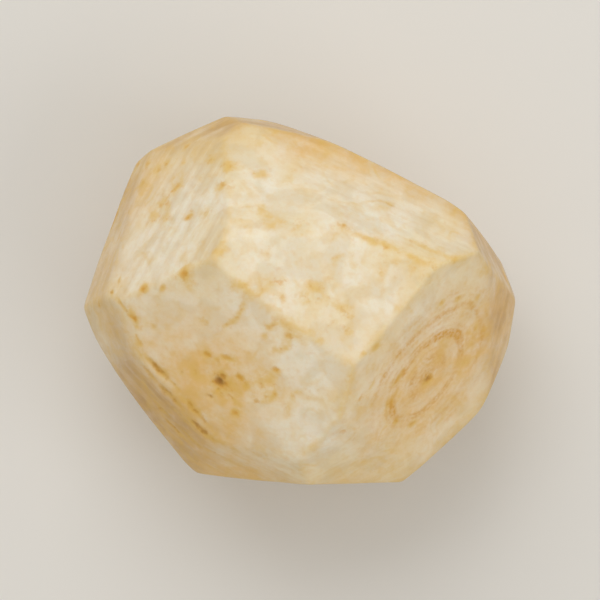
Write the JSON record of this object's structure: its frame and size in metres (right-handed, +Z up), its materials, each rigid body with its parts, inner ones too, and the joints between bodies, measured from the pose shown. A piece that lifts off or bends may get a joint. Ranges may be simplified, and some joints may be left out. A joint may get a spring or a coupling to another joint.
{
  "type": "peeled celeriac",
  "caption": "Whole celery root, peeled raw with straight knife cuts into a rough faceted ball that rests on a flat cut.",
  "frame": {"origin": "middle of the bottom of the root's box, on the surface that it rests on", "axes": "+X along the root's longest side, +Z up, away from the flat cut it rests on; the facet with the growth rings faces +X, -Y and up"},
  "size_m": [0.1068, 0.0902, 0.0881],
  "materials": {
    "celeriac_flesh": "moist, slightly glossy cut flesh, cream with ochre growth rings, root scars and knife marks"
  },
  "bodies": {
    "root": {"peeled_celeriac": "celeriac_flesh"}
  },
  "joints": []
}
